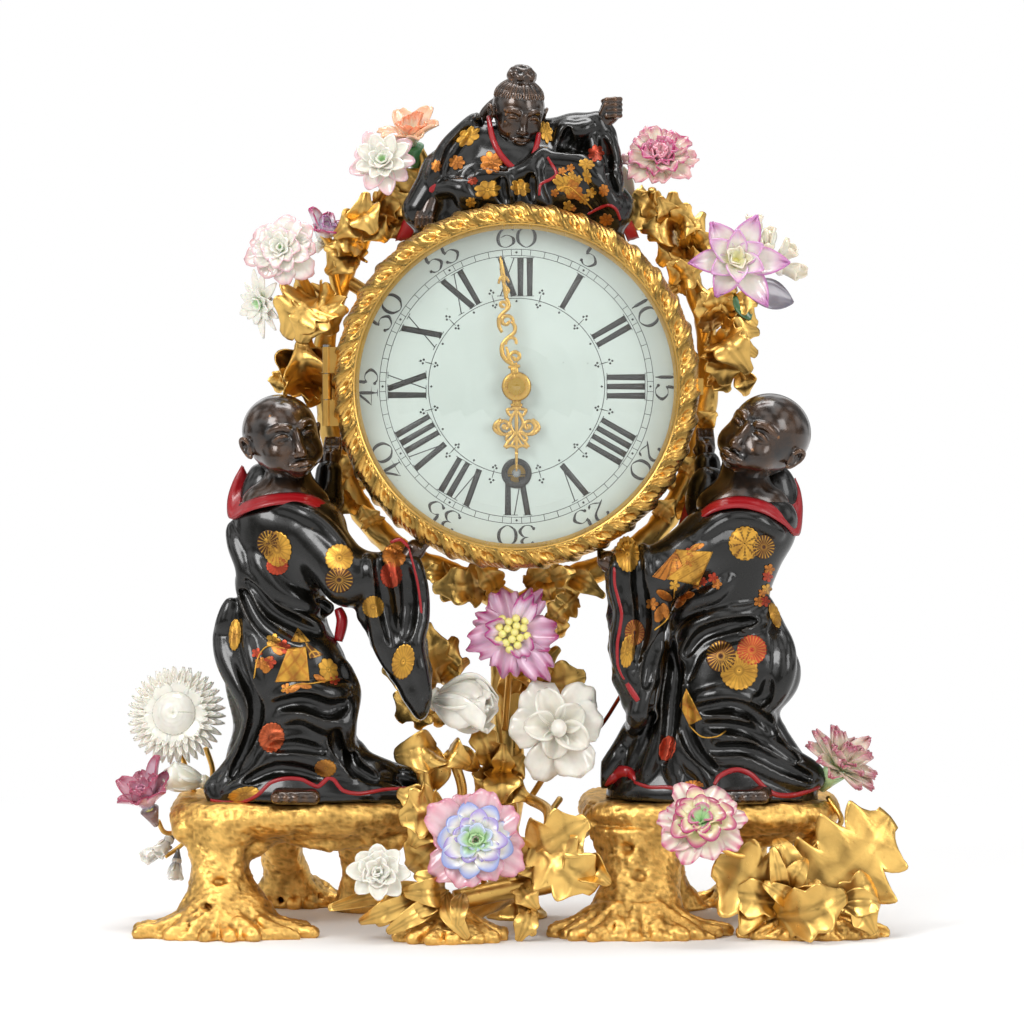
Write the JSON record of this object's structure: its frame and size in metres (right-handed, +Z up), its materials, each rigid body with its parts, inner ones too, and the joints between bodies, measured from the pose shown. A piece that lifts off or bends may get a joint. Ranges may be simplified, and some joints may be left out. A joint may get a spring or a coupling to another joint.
{
  "type": "mantel clock",
  "caption": "Gilt bronze mantel clock: a drum case with a domed enamel dial on a flowering tree, held by two lacquered figures on rockwork, a third seated above.",
  "frame": {"origin": "middle of the trunk's flat foot, on the surface the clock stands on", "axes": "+X to the right seen from the front, +Y to the back, +Z up; the dial faces -Y"},
  "size_m": [0.3519, 0.1711, 0.3877],
  "materials": {
    "gilt_bronze": "gilded, chased and burnished on the high spots",
    "case_bronze": "gilded, satin, toned",
    "brass": "satin",
    "gilt_hands": "gilded, pierced and engraved",
    "steel": "polished, some blued",
    "dial_enamel": "white vitreous enamel, glossy",
    "glass": "clear, domed",
    "lacquered_bronze": "black lacquer with gold and red ornament, glossy",
    "dark_bronze": "dark brown patina, satin",
    "porcelain": "white soft-paste porcelain, tinted petals, glossy"
  },
  "bodies": {
    "stand": {"stump_left": "gilt_bronze", "stump_right": "gilt_bronze", "rock_centre": "gilt_bronze", "rock_right": "gilt_bronze", "root_ties": "gilt_bronze", "base_screws": "brass", "trunk": "gilt_bronze", "branch_left": "gilt_bronze", "branch_right": "gilt_bronze", "foliage_base": "gilt_bronze", "case_lugs": "gilt_bronze", "lug_screws": "steel", "drum_case": "case_bronze", "dial": "dial_enamel", "front_plate": "brass", "back_plate": "brass", "plate_pillars": "brass", "pillar_nuts": "steel", "back_cock": "brass", "left_robe": "lacquered_bronze", "left_head": "dark_bronze", "left_limbs": "dark_bronze", "right_robe": "lacquered_bronze", "right_head": "dark_bronze", "right_limbs": "dark_bronze", "rider_robe": "lacquered_bronze", "rider_head": "dark_bronze", "rider_limbs": "dark_bronze", "figure_nuts": "steel", "daisy_white": "porcelain", "flowers_low_left": "porcelain", "star_flower": "porcelain", "flowers_white_centre": "porcelain", "ranunculus_front": "porcelain", "flowers_front": "porcelain", "flowers_upper_left": "porcelain", "flowers_upper_right": "porcelain"},
    "bezel": {"bezel": "gilt_bronze", "glass_ring": "brass", "bezel_glass": "glass", "bezel_hinge_pin": "steel"},
    "rear_door": {"rear_door": "case_bronze", "rear_door_pin": "steel"},
    "door_knob": {"door_knob": "gilt_bronze"},
    "centre_arbor": {"centre_wheel": "brass", "cannon_pinion": "steel", "minute_hand": "gilt_hands", "hand_nut": "gilt_hands"},
    "hour_wheel": {"hour_wheel": "brass", "hour_hand": "gilt_hands"},
    "minute_wheel": {"minute_wheel": "brass"},
    "third_wheel": {"third_wheel": "brass"},
    "escape_wheel": {"escape_wheel": "brass"},
    "intermediate_wheel": {"intermediate_wheel": "brass"},
    "barrel": {"mainspring_barrel": "brass", "mainspring": "steel"},
    "winding_arbor": {"winding_arbor": "steel"},
    "click": {"click": "steel"},
    "pallets": {"pallets": "steel"},
    "pendulum": {"pendulum": "brass"}
  },
  "joints": [
    {"name": "hands_turn", "type": "hinge", "parent": "stand", "child": "centre_arbor", "pos_m": [0, -0.02, 0.242], "axis": [0, 1, 0], "continuous": true},
    {"name": "hour_turn", "type": "hinge", "parent": "stand", "child": "hour_wheel", "pos_m": [0, -0.036, 0.242], "axis": [0, 1, 0], "continuous": true},
    {"name": "minute_wheel_turn", "type": "hinge", "parent": "stand", "child": "minute_wheel", "pos_m": [-0.00947, -0.036, 0.23855], "axis": [0, 1, 0], "continuous": true},
    {"name": "third_turn", "type": "hinge", "parent": "stand", "child": "third_wheel", "pos_m": [-0.01, -0.02, 0.25497], "axis": [0, 1, 0], "continuous": true},
    {"name": "escape_turn", "type": "hinge", "parent": "stand", "child": "escape_wheel", "pos_m": [0, -0.02, 0.26617], "axis": [0, 1, 0], "continuous": true},
    {"name": "intermediate_turn", "type": "hinge", "parent": "stand", "child": "intermediate_wheel", "pos_m": [0.00402, -0.02, 0.22482], "axis": [0, 1, 0], "continuous": true},
    {"name": "barrel_turn", "type": "hinge", "parent": "stand", "child": "barrel", "pos_m": [0, -0.02, 0.2036], "axis": [0, 1, 0], "continuous": true},
    {"name": "winding_turn", "type": "hinge", "parent": "stand", "child": "winding_arbor", "pos_m": [0, -0.02, 0.2036], "axis": [0, 1, 0], "continuous": true},
    {"name": "click_swing", "type": "hinge", "parent": "stand", "child": "click", "pos_m": [0.0124, 0.001, 0.2116], "axis": [0, 1, 0], "range_deg": [-10, 0], "stiffness_Nm_per_rad": 0.0001},
    {"name": "pendulum_swing", "type": "hinge", "parent": "stand", "child": "pendulum", "pos_m": [0, 0.009, 0.2802], "axis": [0, 1, 0], "range_deg": [-5, 5]},
    {"name": "pallets_rock", "type": "hinge", "parent": "stand", "child": "pallets", "pos_m": [0, 0.004, 0.2802], "axis": [0, 1, 0], "range_deg": [-5.5, 5.5]},
    {"name": "bezel_open", "type": "hinge", "parent": "stand", "child": "bezel", "pos_m": [-0.084, -0.045, 0.242], "axis": [0, 0, 1], "range_deg": [-90, 0]},
    {"name": "rear_door_open", "type": "hinge", "parent": "stand", "child": "rear_door", "pos_m": [0.078, 0.032, 0.242], "axis": [0, 0, 1], "range_deg": [-110, 0]},
    {"name": "knob_turn", "type": "hinge", "parent": "rear_door", "child": "door_knob", "pos_m": [-0.06068, 0.034, 0.242], "axis": [0, 1, 0], "range_deg": [0, 90]}
  ],
  "couplings": [
    {"joint": "third_turn", "follows": "hands_turn", "ratio": -12},
    {"joint": "escape_turn", "follows": "hands_turn", "ratio": 144},
    {"joint": "intermediate_turn", "follows": "hands_turn", "ratio": -0.16667},
    {"joint": "barrel_turn", "follows": "hands_turn", "ratio": 0.02381},
    {"joint": "minute_wheel_turn", "follows": "hands_turn", "ratio": -0.33333},
    {"joint": "hour_turn", "follows": "hands_turn", "ratio": 0.083333},
    {"joint": "pallets_rock", "follows": "pendulum_swing", "ratio": 1}
  ]
}
